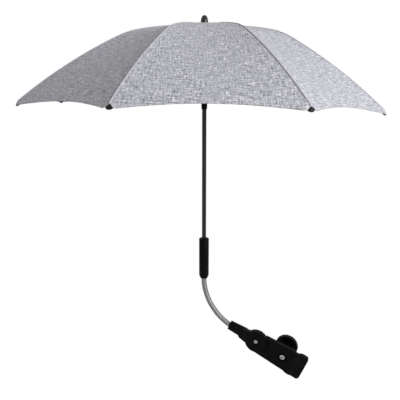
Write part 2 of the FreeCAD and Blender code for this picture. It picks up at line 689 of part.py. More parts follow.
for index in range(RIB_COUNT):
    number = index + 1
    frame = Placement(pole_base, Rotation(Z_AXIS, 360 * index / RIB_COUNT))

    rib_bar = padded(f"rib_bar_{number}", bowed_band(rib_hinge, rib_joint, size.rib_bow, size.rib_depth)
                     + [hole(rib_hinge, size.rib_hole_diameter), hole(rib_joint, size.rib_hole_diameter)],
                     "rib_thickness", symmetric=True)
    rivet = fuse(
        f"rivet_{number}",
        cylinder(f"rivet_shank_{number}", "rivet_diameter / 2", "rib_thickness * 3 + side_clearance * 4",
                 rivet_low, ALONG_Y),
        cylinder(f"rivet_low_head_{number}", "rivet_head_diameter / 2", "rivet_head_height",
                 rivet_low - Vector(0, size.rivet_head_height, 0), ALONG_Y),
        cylinder(f"rivet_high_head_{number}", "rivet_head_diameter / 2", "rivet_head_height", rivet_high,
                 ALONG_Y),
    )
    rib = doc.addObject("Part::Compound", f"riveted_rib_{number}")
    rib.Links = [rib_bar, rivet]
    node(f"rib_{number}", placed(rib, frame))

    rib_tip = rib_tips[index]
    end_bar = padded(f"rib_end_bar_{number}", bowed_band(rib_joint, rib_tip, size.rib_end_bow, size.rib_depth)
                     + [hole(rib_joint, size.rib_hole_diameter)], "rib_thickness", symmetric=True)
    end_bar.Placement.Base.y = layer_step
    node(f"rib_end_{number}", placed(end_bar, frame))

    heading = tip_heading(rib_tip)
    cap_centre = rib_tip + heading * (size.tip_cap_nose - size.tip_cap_length / 2)
    cap_turn = Rotation(Y_AXIS, 90 - math.degrees(math.atan2(heading.y, heading.x)))
    cap_lens = doc.addObject("Part::Ellipsoid", f"tip_lens_{number}")
    cap_lens.Placement = Placement(Vector(cap_centre.x, 0, cap_centre.y), cap_turn)
    bind(cap_lens, Radius1="tip_cap_length / 2", Radius2="tip_cap_thickness / 2", Radius3="tip_cap_width / 2")
    cap_room = padded(f"tip_room_{number}", bowed_band(rib_joint, rib_tip, size.rib_end_bow, size.rib_depth),
                      "rib_thickness + seat_fit * 2", symmetric=True)
    cap_room.Placement.Base.y = layer_step
    cap = cut(f"rib_tip_cut_{number}", cap_lens, cap_room)
    node(f"rib_tip_{number}", placed(cap, frame))

    bar = padded(f"stretcher_bar_{number}", stretcher_outline()
                 + [hole(rib_joint, size.rib_hole_diameter)], "rib_thickness", symmetric=True)
    bar.Placement.Base.y = -layer_step
    node(f"stretcher_{number}", placed(bar, frame))

# Canopy: eight panels ruled from rib to rib, with the hem cut in a shallow arch
cloth_up = Vector(0, cloth_rise, 0)
level_chord = level_tip - rib_joint
joint_slope = math.atan2(level_chord.y, level_chord.x) / 2
cloth_joint = rib_joint + Vector(-math.sin(joint_slope), math.cos(joint_slope), 0) * cloth_rise
cloth_crown = Vector(size.crown_hole_radius, rib_hinge.y, 0) + cloth_up
cloth_thick = Vector(0, size.cloth_thickness, 0)


def cloth_corner(rib_tip):
    """Lower edge of the cloth over a rib's cap, whose nose shows beyond it."""
    heading = tip_heading(rib_tip)
    across = Vector(-heading.y, heading.x, 0)
    return rib_tip + heading * (size.tip_cap_nose - size.tip_cap_show) + across * cloth_rise


def cloth_section(name, turn, corner_point):
    """The cloth along one rib, as a closed outline in the rib's radial plane."""
    corners = [cloth_crown, cloth_joint, corner_point]
    bows = [size.rib_bow, size.rib_end_bow]
    lower = [Part.Arc(a, bow_point(a, b, bow), b) for a, b, bow in zip(corners, corners[1:], bows)]
    upper = [Part.Arc(a + cloth_thick, bow_point(a, b, bow) + cloth_thick, b + cloth_thick)
             for a, b, bow in zip(corners, corners[1:], bows)]
    sketch = doc.addObject("Sketcher::SketchObject", name)
    sketch.Placement = Placement(pole_base, Rotation(Z_AXIS, turn) * Rotation(X_AXIS, 90))
    sketch.addGeometry(lower + upper, False)
    sketch.addGeometry([Part.LineSegment(cloth_crown, cloth_crown + cloth_thick),
                        Part.LineSegment(corner_point, corner_point + cloth_thick)], False)
    return sketch


cloth_corners = [cloth_corner(rib_tip) for rib_tip in rib_tips]
sections = []
for index, corner_point in enumerate(cloth_corners):
    turn = 360 * index / RIB_COUNT
    sections.append(cloth_section(f"cloth_section_{index + 1}", turn, corner_point))
half_gore = math.pi / RIB_COUNT
panels = []
for index in range(RIB_COUNT):
    number = index + 1
    following = number % RIB_COUNT
    panel = doc.addObject("Part::Loft", f"panel_{number}")
    panel.Sections = [sections[index], sections[following]]
    panel.Solid = True
    panel.Ruled = True
    first, last = cloth_corners[index], cloth_corners[following]
    hem_start = Vector(-first.x * math.sin(half_gore), first.y, 0)
    hem_stop = Vector(last.x * math.sin(half_gore), last.y, 0)
    hem_chord = hem_stop - hem_start
    hem_radius = (hem_chord.Length ** 2 / 4 + size.hem_rise ** 2) / (2 * size.hem_rise)
    hem_up = Vector(-hem_chord.y, hem_chord.x, 0) / hem_chord.Length
    hem_centre = (hem_start + hem_stop) / 2 + hem_up * (size.hem_rise - hem_radius)
    middle = Rotation(Z_AXIS, 360 * (index + 0.5) / RIB_COUNT)
    hem_tool = doc.addObject("Part::Cylinder", f"hem_tool_{number}")
    hem_tool.Radius = hem_radius
    bind(hem_tool, Height="rib_tip_radius")
    hem_base = pole_base + middle.multVec(Vector(size.rib_joint_radius, hem_centre.x, hem_centre.y))
    hem_tool.Placement = Placement(hem_base, middle * ALONG_X)
    panels.append(cut(f"panel_hemmed_{number}", panel, hem_tool))
canopy = doc.addObject("Part::Compound", "canopy")
canopy.Links = panels
node("canopy", canopy)

# Every object is checked before anything is written
doc.recompute()
for item in doc.Objects:
    if "Invalid" in item.State or "Error" in item.State:
        raise RuntimeError(f"{item.Name} ({item.Label}) failed: {item.State}")
for label, item in nodes.items():
    if item.Shape.isNull() or not item.Shape.isValid() or not item.Shape.Solids:
        raise RuntimeError(f"{label} has no valid shape")

os.makedirs("parts", exist_ok=True)
for label, item in nodes.items():
    item.Shape.exportStep(f"parts/{label}.step")

bounds = FreeCAD.BoundBox()
for item in nodes.values():
    bounds.add(item.Shape.BoundBox)
print(len(nodes), "pieces", bounds)
for name, point in (("hinge", hinge_point), ("neck_end", neck_end), ("neck_centre", neck_centre),
                    ("sleeve_base", sleeve_base), ("pole_base", pole_base)):
    print(name, [round(value, 3) for value in point])
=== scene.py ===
import math

import bmesh
import bpy
import numpy as np
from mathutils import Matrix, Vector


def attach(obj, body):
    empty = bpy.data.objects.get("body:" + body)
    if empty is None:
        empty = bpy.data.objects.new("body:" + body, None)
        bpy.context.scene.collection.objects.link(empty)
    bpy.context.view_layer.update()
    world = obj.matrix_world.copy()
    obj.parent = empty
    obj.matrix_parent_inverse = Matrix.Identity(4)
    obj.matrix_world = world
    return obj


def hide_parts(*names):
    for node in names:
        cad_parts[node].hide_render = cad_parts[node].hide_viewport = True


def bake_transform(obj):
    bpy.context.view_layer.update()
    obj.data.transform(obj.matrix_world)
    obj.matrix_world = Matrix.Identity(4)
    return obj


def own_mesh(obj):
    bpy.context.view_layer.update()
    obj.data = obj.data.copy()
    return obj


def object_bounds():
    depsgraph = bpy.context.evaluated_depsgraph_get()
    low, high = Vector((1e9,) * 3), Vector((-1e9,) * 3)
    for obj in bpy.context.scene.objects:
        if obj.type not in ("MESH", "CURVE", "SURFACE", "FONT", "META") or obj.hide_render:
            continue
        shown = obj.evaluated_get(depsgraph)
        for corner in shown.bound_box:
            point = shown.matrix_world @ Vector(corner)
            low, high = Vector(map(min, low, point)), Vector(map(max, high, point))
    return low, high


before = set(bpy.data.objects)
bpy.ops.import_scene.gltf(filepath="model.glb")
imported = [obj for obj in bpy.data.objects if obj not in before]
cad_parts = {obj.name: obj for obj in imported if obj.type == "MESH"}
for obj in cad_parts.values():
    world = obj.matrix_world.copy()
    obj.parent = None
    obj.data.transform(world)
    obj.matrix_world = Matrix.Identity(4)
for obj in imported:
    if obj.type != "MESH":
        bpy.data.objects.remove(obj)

cad_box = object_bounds()

# Clamp jaws: two tapered plates of black glass-filled nylon, moulded with an arch each that
# takes the handle tube. The mould's spark grain leaves them matt, and their edges are rounded
# and a little rubbed.
JAW_EDGE = 0.0009
JAW_COLOUR = (0.0022, 0.0023, 0.0024)
RUBBED_PLASTIC = (0.014, 0.014, 0.015)
PATCHES_PER_METRE = 70.0
PATCH_ROUGHNESS = 0.22
SCUFFS_PER_METRE = 420.0
RUB_REACH = 0.0015
RUB_STRENGTH = 0.75
DUST_STRENGTH = 0.25
PIT_DEPTH_SHARE = 0.25
MERGE_REACH = 2e-6
FLAT_ANGLE = math.radians(0.6)
BEVEL_ANGLE = math.radians(38)
BEVEL_SEGMENTS = 3
SHARP_ANGLE = math.radians(32)


class Shade:
    """A socket of a node tree: arithmetic on it adds Math nodes, and node() adds any other node."""

    def __init__(self, tree, socket=None):
        self.tree = tree
        self.socket = socket

    def node(self, kind, settings=(), values=(), output=0):
        made = self.tree.nodes.new("ShaderNode" + kind)
        for name, value in dict(settings).items():
            setattr(made, name, value)
        for name, value in dict(values).items():
            if isinstance(value, Shade):
                self.tree.links.new(value.socket, made.inputs[name])
            else:
                made.inputs[name].default_value = value
        return Shade(self.tree, made.outputs[output])

    def math(self, operation, *values):
        return self.node("Math", {"operation": operation}, enumerate(values))

    def __add__(self, other):
        return self.math("ADD", self, other)

    def __radd__(self, other):
        return self.math("ADD", other, self)

    def __sub__(self, other):
        return self.math("SUBTRACT", self, other)

    def __rsub__(self, other):
        return self.math("SUBTRACT", other, self)

    def __mul__(self, other):
        return self.math("MULTIPLY", self, other)

    def __rmul__(self, other):
        return self.math("MULTIPLY", other, self)

    def step(self, low, high):
        """0 below low, 1 above high and smooth between."""
        settings = {"interpolation_type": "SMOOTHSTEP"}
        return self.node("MapRange", settings, {"Value": self, "From Min": low, "From Max": high})

    def mix(self, first, second):
        """Colour from first to second as this value goes from 0 to 1: sockets 6 and 7 take colours."""
        first, second = [(*end, 1) if isinstance(end, tuple) else end for end in (first, second)]
        return self.node("Mix", {"data_type": "RGBA"}, {0: self, 6: first, 7: second}, output=2)

    def noise(self, place, per_metre, detail, roughness=0.5):
        """Noise at a place, with about that many spots to the metre."""
        values = {"Vector": place, "Scale": per_metre, "Detail": detail, "Roughness": roughness}
        return self.node("TexNoise", (), values)

    def bump(self, height, strength, depth):
        """Normal of a surface that stands up by depth where height is 1."""
        return self.node("Bump", (), {"Height": height, "Strength": strength, "Distance": depth})


def new_finish(name):
    """An empty material: returns it, a Shade to start from and its Principled shader."""
    material = bpy.data.materials.new(name)
    material.use_nodes = True
    return material, Shade(material.node_tree), material.node_tree.nodes["Principled BSDF"]


def paint(shader, **values):
    """Set or link the shader's sockets; an underscore stands for a space, as in Base_Color."""
    for name, value in values.items():
        socket = shader.inputs[name.replace("_", " ")]
        if isinstance(value, Shade):
            value.tree.links.new(value.socket, socket)
        else:
            socket.default_value = value


def moulded_plastic(name, colour, rubbed, grain, roughness, gloss):
    """Moulded plastic: grain is the size of the mould's spark pits, which only bump the surface.
    Slow patches vary the roughness, edges within RUB_REACH are rubbed paler, and gloss is the
    strength of the mirror reflection."""
    material, shade, shader = new_finish(name)
    place = shade.node("TexCoord", output="Object")
    pits = shade.noise(place, 1 / grain, detail=2.0)
    patches = shade.noise(place, PATCHES_PER_METRE, detail=4.0)
    scuffs = shade.noise(place, SCUFFS_PER_METRE, detail=3.0)
    rounded = shade.node("Bevel", {"samples": 6}, {"Radius": RUB_REACH})
    true = shade.node("NewGeometry", output="Normal")
    normals = {0: rounded, 1: true}
    turned = shade.node("VectorMath", {"operation": "DOT_PRODUCT"}, normals, output="Value")
    rub = (1 - turned).step(0.01, 0.16) * scuffs.step(0.35, 0.7)
    dust = patches.step(0.5, 0.8) * DUST_STRENGTH
    paint(shader,
          Base_Color=(rub * RUB_STRENGTH + dust).mix(colour, rubbed),
          Roughness=patches * PATCH_ROUGHNESS + (roughness - PATCH_ROUGHNESS / 2),
          Normal=shade.bump(pits, strength=0.35, depth=grain * PIT_DEPTH_SHARE),
          Specular_IOR_Level=gloss)
    return material


def dress(name, finish):
    """Give a node of the frame its finish."""
    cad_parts[name].material_slots[0].material = finish


def softened(name, body, finish, edge):
    """A copy of a node, merged and rounded along its sharp edges with a bevel of that width. It
    stands for the node."""
    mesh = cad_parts[name].data.copy()
    work = bmesh.new()
    work.from_mesh(mesh)
    bmesh.ops.remove_doubles(work, verts=work.verts, dist=MERGE_REACH)
    bmesh.ops.dissolve_limit(work, angle_limit=FLAT_ANGLE, verts=work.verts, edges=work.edges)
    work.to_mesh(mesh)
    work.free()
    mesh.name = name + "_moulded"
    mesh.materials.clear()
    mesh.materials.append(finish)
    piece = bpy.data.objects.new(name + "_moulded", mesh)
    bpy.context.scene.collection.objects.link(piece)
    bevel = piece.modifiers.new("edges", "BEVEL")
    bevel.width = edge
    bevel.segments = BEVEL_SEGMENTS
    bevel.limit_method = "ANGLE"
    bevel.angle_limit = BEVEL_ANGLE
    bevel.harden_normals = False
    mesh.shade_smooth()
    mesh.set_sharp_from_angle(angle=SHARP_ANGLE)
    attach(piece, body)
    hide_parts(name)


jaw_plastic = moulded_plastic("jaw_plastic", JAW_COLOUR, RUBBED_PLASTIC,
                              grain=0.0005, roughness=0.5, gloss=0.05)
softened("front_jaw", "clamp", jaw_plastic, JAW_EDGE)
softened("rear_jaw", "rear_jaw", jaw_plastic, JAW_EDGE)

# Pads: strips of soft black rubber glued in the arches, so that the tube isn't scratched.
# Their skin is dull, with the talc of the mould still in it.
RUBBER_COLOUR = (0.008, 0.008, 0.0085)
TALC_COLOUR = (0.035, 0.035, 0.036)
TALC_PER_METRE = 260.0
TALC_STRENGTH = 0.7
SKIN_PER_METRE = 1500.0
SKIN_DEPTH = 0.0002

pad_rubber, shade, shader = new_finish("pad_rubber")
place = shade.node("TexCoord", output="Object")
talc = shade.noise(place, TALC_PER_METRE, detail=5.0)
skin = shade.noise(place, SKIN_PER_METRE, detail=1.0)
paint(shader,
      Base_Color=(talc.step(0.45, 0.8) * TALC_STRENGTH).mix(RUBBER_COLOUR, TALC_COLOUR),
      Roughness=talc * 0.2 + 0.7,
      Normal=shade.bump(skin, strength=0.3, depth=SKIN_DEPTH),
      Specular_IOR_Level=0.2)
for name in ("front_pad", "rear_pad"):
    dress(name, pad_rubber)

# Bolts, nut, pins, washer and wire ring: turned, pressed or drawn steel, zinc plated. The tool
# leaves faint rings and the plating a slightly cloudy shine.
ZINC_BRIGHT = (0.40, 0.40, 0.41)
ZINC_CLOUDY = (0.20, 0.20, 0.21)
ZINC_EDGE = (0.05, 0.05, 0.05, 1)
CLOUDS_PER_METRE = 300.0
RINGS_PER_METRE = 2400.0
RING_DEPTH = 0.0001

zinc_steel, shade, shader = new_finish("zinc_steel")
place = shade.node("TexCoord", output="Object")
cloud = shade.noise(place, CLOUDS_PER_METRE, detail=4.0)
rings = shade.noise(place, RINGS_PER_METRE, detail=1.0)
paint(shader,
      Base_Color=cloud.step(0.35, 0.7).mix(ZINC_BRIGHT, ZINC_CLOUDY),
      Metallic=1.0,
      Roughness=cloud * 0.25 + 0.18,
      Normal=shade.bump(rings, strength=0.12, depth=RING_DEPTH),
      Specular_Tint=ZINC_EDGE)
for name in ("clamp_bolt", "hinge_bolt", "hinge_nut", "jaw_pin", "knob_washer", "stop_pin",
             "notch_ring"):
    dress(name, zinc_steel)

# Knob: a scalloped hand wheel of the jaws' plastic, dished, with a nut moulded into its hub. It
# runs on the clamping bolt and draws the rear jaw in.
KNOB_EDGE = 0.0012

softened("knob", "knob", jaw_plastic, KNOB_EDGE)

# Socket arm: the moulded elbow between neck and clamp. Its round disc turns against the front
# jaw on the hinge bolt, whose head sits in a counterbore.
ARM_EDGE = 0.0010

softened("socket_arm", "arm", jaw_plastic, ARM_EDGE)

# Flexible neck: round steel wire wound over a soft steel core, so that the neck stays as it is
# bent. The turns show as fine rings, polished where hands hold them, and the gaps between them
# are darkened with painted shade.
NECK_RADIUS = 0.0055
NECK_BEND = 0.116
NECK_PITCH = 0.0019
NECK_GROOVE = 0.0003
NECK_TURN = math.radians(61.8)
NECK_CENTRE = np.array([-0.086505, -0.0045, 0.159628])
SOCKET_ROOM = 0.006
RINGS_PER_TURN = 9
NECK_SIDES = 32
NECK_BRIGHT = (0.24, 0.24, 0.25)
NECK_HANDLED = (0.20, 0.20, 0.205)
# Colour of the gaps between the turns: painted shade in the grooves.
NECK_GAP_SHADE = (0.12, 0.12, 0.125)
NECK_EDGE = (0, 0, 0, 1)
GROOVE_POWER = 0.7
HANDLING_PER_METRE = 120.0
SCRATCHES_PER_METRE = 1900.0
SCRATCH_DEPTH = 0.0001
WELD_REACH = 1e-7


def quad_grid(rows, columns, around=False):
    """Corner numbers of the quads of a grid; around also joins the last column to the first."""
    numbers = np.arange(rows * columns).reshape(rows, columns)
    if around:
        numbers = np.hstack([numbers, numbers[:, :1]])
    corners = [numbers[:-1, :-1], numbers[:-1, 1:], numbers[1:, 1:], numbers[1:, :-1]]
    return np.stack(corners, axis=-1).reshape(-1, 4)


def new_piece(name, points, faces, finish, uv=None, mend=False):
    """A smooth mesh object from points and faces, with a UV pair for each point if given. Mending
    merges the points of its closed ends and turns its faces outwards."""
    mesh = bpy.data.meshes.new(name)
    mesh.from_pydata(points.reshape(-1, 3).tolist(), [], np.asarray(faces).tolist())
    if uv is not None:
        corners = np.empty(len(mesh.loops), dtype=np.int32)
        mesh.loops.foreach_get("vertex_index", corners)
        layer = mesh.uv_layers.new(name="weave")
        layer.data.foreach_set("uv", uv.reshape(-1, 2)[corners].astype(np.float32).ravel())
    if mend:
        work = bmesh.new()
        work.from_mesh(mesh)
        bmesh.ops.remove_doubles(work, verts=work.verts, dist=WELD_REACH)
        bmesh.ops.recalc_face_normals(work, faces=work.faces)
        work.to_mesh(mesh)
        work.free()
    mesh.materials.append(finish)
    mesh.shade_smooth()
    piece = bpy.data.objects.new(name, mesh)
    bpy.context.scene.collection.objects.link(piece)
    return piece


def neck_point(turn):
    """Point of the neck's line at that turn round the bend, counted from the sleeve down."""
    outward = np.stack([-np.cos(turn), 0 * turn, -np.sin(turn)], axis=-1)
    return NECK_CENTRE + NECK_BEND * outward


def wound_neck(name, first, last, finish):
    """A wound tube along the bend between two turns: the radius is NECK_RADIUS less a groove of
    1 - |sin|^GROOVE_POWER along a helix of NECK_PITCH; both ends close on the neck's line."""
    count = int(NECK_BEND * (last - first) / NECK_PITCH * RINGS_PER_TURN)
    turn = np.linspace(first, last, count)[:, None]
    side = np.linspace(0, 2 * np.pi, NECK_SIDES, endpoint=False)[None, :]
    phase = np.pi * NECK_BEND * turn / NECK_PITCH + side / 2
    radius = NECK_RADIUS - NECK_GROOVE * (1 - np.abs(np.sin(phase)) ** GROOVE_POWER)
    radius[[0, -1]] = 0
    outward = np.stack([-np.cos(turn), 0 * turn, -np.sin(turn)], axis=-1)
    across = np.array([0.0, 1.0, 0.0])
    points = neck_point(turn) + radius[..., None] * (np.cos(side)[..., None] * outward
                                                     + np.sin(side)[..., None] * across)
    # The second UV value is how deep a point lies in the groove; the finish uses it to paint shade
    # into the gaps.
    groove = np.stack([np.broadcast_to(phase, radius.shape), 1 - np.abs(np.sin(phase))], axis=-1)
    faces = quad_grid(count, NECK_SIDES, around=True)
    return new_piece(name, points, faces, finish, uv=groove, mend=True)


wound_steel, shade, shader = new_finish("wound_steel")
place = shade.node("TexCoord", output="Object")
# depth: how deep a point lies in the groove between turns; the gaps are darkened by it with painted
# shade.
depth = shade.node("SeparateXYZ", (), {0: shade.node("UVMap", {"uv_map": "weave"})}, output="Y")
handled = shade.noise(place, HANDLING_PER_METRE, detail=4.0)
scratches = shade.noise(place, SCRATCHES_PER_METRE, detail=2.0)
wire = handled.step(0.3, 0.75).mix(NECK_BRIGHT, NECK_HANDLED)
paint(shader,
      Base_Color=depth.step(0.35, 0.95).mix(wire, NECK_GAP_SHADE),
      Metallic=1.0,
      Roughness=handled * 0.2 + 0.3,
      Normal=shade.bump(scratches, strength=0.15, depth=SCRATCH_DEPTH),
      Specular_Tint=NECK_EDGE)

stub = SOCKET_ROOM / NECK_BEND
lower_neck = wound_neck("neck_winding_lower", NECK_TURN / 2, NECK_TURN + stub, wound_steel)
upper_neck = wound_neck("neck_winding_upper", -stub, NECK_TURN / 2, wound_steel)
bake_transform(lower_neck)
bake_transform(upper_neck)
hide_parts("gooseneck_lower", "gooseneck_middle")
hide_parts("gooseneck_upper")

# Sleeve: a plain ferrule of the jaws' plastic, pressed over the end of the neck. The pole's foot
# turns in it.
SLEEVE_EDGE = 0.0007

softened("sleeve", "sleeve", jaw_plastic, SLEEVE_EDGE)

# Pole: thin steel tube with a satin black stove enamel, which has a faint orange peel and is
# rubbed a little paler in places.
ENAMEL_COLOUR = (0.005, 0.005, 0.0055)
ENAMEL_WORN = (0.016, 0.016, 0.017)
PEEL_PER_METRE = 700.0
PEEL_DEPTH = 0.0002
RUBS_PER_METRE = 90.0
RUBS_STRENGTH = 0.6

pole_enamel, shade, shader = new_finish("pole_enamel")
place = shade.node("TexCoord", output="Object")
peel = shade.noise(place, PEEL_PER_METRE, detail=1.0)
rubs = shade.noise(place, RUBS_PER_METRE, detail=5.0)
paint(shader,
      Base_Color=(rubs.step(0.55, 0.85) * RUBS_STRENGTH).mix(ENAMEL_COLOUR, ENAMEL_WORN),
      Roughness=rubs * 0.16 + 0.26,
      Normal=shade.bump(peel, strength=0.12, depth=PEEL_DEPTH),
      Specular_IOR_Level=0.3)
dress("pole", pole_enamel)

# Runner: a tube of the jaws' plastic that slides on the pole, with a bead at its foot and a slotted
# flange that takes the feet of the stretchers.
RUNNER_EDGE = 0.0003

softened("runner", "runner", jaw_plastic, RUNNER_EDGE)

# Notch: the slotted disc of the jaws' plastic at the top of the pole, in which a wire ring holds
# the ribs' eyes.
NOTCH_EDGE = 0.0003

softened("notch", "pole", jaw_plastic, NOTCH_EDGE)

# Ribs and stretchers: flat spring steel, blanked and bowed, with a thin black lacquer that is
# rubbed through to bare steel in places.
LACQUER_COLOUR = (0.016, 0.016, 0.018)
BARE_STEEL = (0.30, 0.30, 0.31)
WEAR_PER_METRE = 55.0
RIBS = 8

rib_lacquer, shade, shader = new_finish("rib_lacquer")
place = shade.node("TexCoord", output="Object")
wear = shade.noise(place, WEAR_PER_METRE, detail=8.0, roughness=0.65)
bare = wear.step(0.60, 0.68)
paint(shader,
      Base_Color=bare.mix(LACQUER_COLOUR, BARE_STEEL),
      Metallic=bare * 0.9,
      Roughness=wear * 0.3 + 0.22)
for number in range(1, RIBS + 1):
    for name in ("rib", "rib_end", "stretcher"):
        dress(f"{name}_{number}", rib_lacquer)

# Rib tips: small moulded caps with a round nose, pushed over the ends of the ribs and sewn to
# the corners of the cloth.
TIP_COLOUR = (0.004, 0.004, 0.0045)

tip_plastic = moulded_plastic("tip_plastic", TIP_COLOUR, RUBBED_PLASTIC,
                              grain=0.0004, roughness=0.38, gloss=0.14)
for number in range(1, RIBS + 1):
    dress(f"rib_tip_{number}", tip_plastic)

# Canopy: eight panels of grey melange cloth, seamed along the ribs and drawn tight, so that each
# panel is slightly hollow between its ribs and its hem rises in a shallow arch. One rib is bent
# more than the others, so that its corner hangs low.
POLE_FOOT = np.array([-0.202505, -0.0045, 0.534528])
CLOTH_CROWN = np.array([0.0054, 0.1479])
RIB_JOINT = np.array([0.150, 0.1275])
LEVEL_TIP = np.array([0.3510, 0.0020])
DROOP_ANGLE = math.radians(4.85)
DROOP_SHARES = (1.0, 0.3, 0.0, 0.0, 0.0, 0.0, 0.0, 0.2)
RIB_BOW = 0.0044
RIB_END_BOW = 0.0080
CLOTH_LIFT = 0.0039
CORNER_PAST = 0.0075
TIP_NOTCH = 0.0105
TIP_NOTCH_SHARE = 0.045
SMOOTHING = 0.012
CLOTH_THICKNESS = 0.0005
HEM_WIDTH = 0.008
HEM_THICKNESS = 0.0011
HEM_RISE = 0.0190
HEM_FADE = 0.0003
HEM_ANGLE = math.radians(40)
HOLLOW = 0.0080
HOLLOW_START_SHARES = (0.2, 0.5)
HOLLOW_END_SHARES = (0.6, 1.0)
HOLLOW_LOSS = 0.5
PUCKER = 0.00030
PUCKER_PITCH = 0.0105
PUCKER_REACH = 0.009
WEAVE_SHIFT = 0.61
ACROSS = 26
CROWDING = 1.6
INNER_ROWS = 34
OUTER_ROWS = 64
LINE_STEPS = 400
TINY = 1e-9


def bowed_line(start, stop, bow, count):
    """Arc from start to stop that rises by bow over its chord: R sin t along, R cos t up."""
    chord = stop - start
    span = np.hypot(*chord)
    along = chord / span
    up = np.array([-along[1], along[0]])
    half = 2 * math.atan(2 * bow / span)
    radius = span / (2 * math.sin(half))
    turn = np.linspace(-half, half, count)[:, None]
    rise = up * radius * (np.cos(turn) - math.cos(half))
    return (start + stop) / 2 + along * radius * np.sin(turn) + rise


def seam_line(tip):
    """Cloth over a rib that ends in that tip: two arcs from the crown over the joint to the corner,
    which lies CORNER_PAST the rib's end, read at even distances and smoothed by a Gaussian of
    SMOOTHING. Returns the points and the distances of the joint and of the corner along them."""
    chord = tip - RIB_JOINT
    slope = math.atan2(chord[1], chord[0]) - 2 * math.atan(2 * RIB_END_BOW / np.hypot(*chord))
    along = np.array([math.cos(slope), math.sin(slope)])
    corner = tip + CORNER_PAST * along + CLOTH_LIFT * np.array([-along[1], along[0]])
    drawn = np.vstack([bowed_line(CLOTH_CROWN, CLOTH_JOINT, RIB_BOW, LINE_STEPS),
                       bowed_line(CLOTH_JOINT, corner, RIB_END_BOW, LINE_STEPS)[1:]])
    reach = np.concatenate([[0], np.cumsum(np.hypot(*np.diff(drawn, axis=0).T))])
    even = np.linspace(0, reach[-1], LINE_STEPS)
    drawn = np.stack([np.interp(even, reach, drawn[:, axis]) for axis in (0, 1)], axis=-1)
    mirrored = np.vstack([2 * drawn[0] - drawn[:0:-1], drawn, 2 * drawn[-1] - drawn[-2::-1]])
    spread = np.arange(-LINE_STEPS // 4, LINE_STEPS // 4 + 1) * (even[1] - even[0])
    weights = np.exp(-spread ** 2 / (2 * SMOOTHING ** 2))
    weights = weights / weights.sum()
    smooth = [np.convolve(mirrored[:, axis], weights, mode="same") for axis in (0, 1)]
    points = np.stack(smooth, axis=-1)[LINE_STEPS - 1:2 * LINE_STEPS - 1]
    return points, reach[LINE_STEPS - 1], reach[-1]


level_chord = LEVEL_TIP - RIB_JOINT
joint_slope = math.atan2(level_chord[1], level_chord[0]) / 2
CLOTH_JOINT = RIB_JOINT + CLOTH_LIFT * np.array([-math.sin(joint_slope), math.cos(joint_slope)])
rib_tips = {}
seam_lines = {}
for number, share in enumerate(DROOP_SHARES, start=1):
    droop = DROOP_ANGLE * share
    bent = np.array([[math.cos(droop), math.sin(droop)], [-math.sin(droop), math.cos(droop)]])
    rib_tips[number] = RIB_JOINT + bent @ level_chord
    seam_lines[number], JOINT_REACH, SEAM_LENGTH = seam_line(rib_tips[number])
half_gore = math.pi / RIBS


def line_at(number, distance):
    """Radius and height of the cloth over a rib, at that distance from the crown along the seam. The
    seams differ in length by less than a millimetre, so the last one's length serves for all."""
    even = np.linspace(0, SEAM_LENGTH, LINE_STEPS)
    return [np.interp(distance, even, seam_lines[number][:, axis]) for axis in (0, 1)]


def about_pole(points, number):
    """Points in a rib's own frame (outward, sideways, up), turned to that rib and set on the pole."""
    turn = 2 * math.pi * (number - 1) / RIBS
    outward = np.array([math.cos(turn), math.sin(turn), 0])
    sideways = np.array([-math.sin(turn), math.cos(turn), 0])
    upward = np.array([0.0, 0.0, 1.0])
    return POLE_FOOT + points @ np.stack([outward, sideways, upward])


def grid_normals(points):
    """Unit normals of a grid, from the cross product of its two gradients."""
    normal = np.cross(np.gradient(points, axis=0), np.gradient(points, axis=1))
    return normal / np.linalg.norm(normal, axis=-1, keepdims=True)


def smooth_step(value, low, high):
    """0 below low, 1 above high and s s (3 - 2 s) between."""
    s = np.clip((value - low) / (high - low), 0, 1)
    return s * s * (3 - 2 * s)


def half_panel(number, side, first, last, rows):
    """Middle surface of half a panel in its rib's frame, from the seam (e = 0) to the panel's middle
    (e = 1). A row lies on the chord to the next seam, drawn in by HOLLOW e (2 - e), which sets in
    below the crown and eases towards the hem. Small puckers run along the seam. The hem rises by
    HEM_RISE e (2 - e), with a notch of TIP_NOTCH exp(-(e / TIP_NOTCH_SHARE)^2) round the rib's cap.
    Returns points, UV and distance to the hem."""
    e = np.linspace(0, 1, ACROSS)[None, :] ** CROWDING
    arch = e * (2 - e)
    hem = SEAM_LENGTH - HEM_RISE * arch - TIP_NOTCH * np.exp(-(e / TIP_NOTCH_SHARE) ** 2)
    stop = hem if last >= SEAM_LENGTH else last + 0 * e
    distance = first + (stop - first) * np.linspace(0, 1, rows)[:, None]
    radius, height = line_at(number, distance)
    next_radius, next_height = line_at((number - 1 + side) % RIBS + 1, distance)
    out = radius + e / 2 * (next_radius * math.cos(2 * half_gore) - radius)
    aside = side * e / 2 * next_radius * math.sin(2 * half_gore)
    points = np.stack([out, aside, height + e / 2 * (next_height - height)], axis=-1)
    seam_gap = e * radius * math.sin(half_gore)
    slope = np.gradient(points[..., 2], axis=0) / np.maximum(np.gradient(out, axis=0), TINY)
    steep = np.arctan(slope)
    middle_turn = side * half_gore
    normal = np.stack([-np.sin(steep) * math.cos(middle_turn), -np.sin(steep) * math.sin(middle_turn),
                       np.cos(steep)], axis=-1)
    share = distance / SEAM_LENGTH
    easing = 1 - HOLLOW_LOSS * smooth_step(share, *HOLLOW_END_SHARES)
    sag = HOLLOW * arch * smooth_step(share, *HOLLOW_START_SHARES) * easing
    near = seam_gap / PUCKER_REACH
    sag = sag + PUCKER * np.sin(2 * math.pi * distance / PUCKER_PITCH) * near * np.exp(1 - near)
    points = points - sag[..., None] * normal
    gore = (number - 1 + (1 if side > 0 else 0)) % RIBS
    from_middle = radius * math.sin(half_gore) - seam_gap
    uv = np.stack([-side * from_middle + WEAVE_SHIFT * gore, distance], axis=-1)
    return points, uv, hem - distance


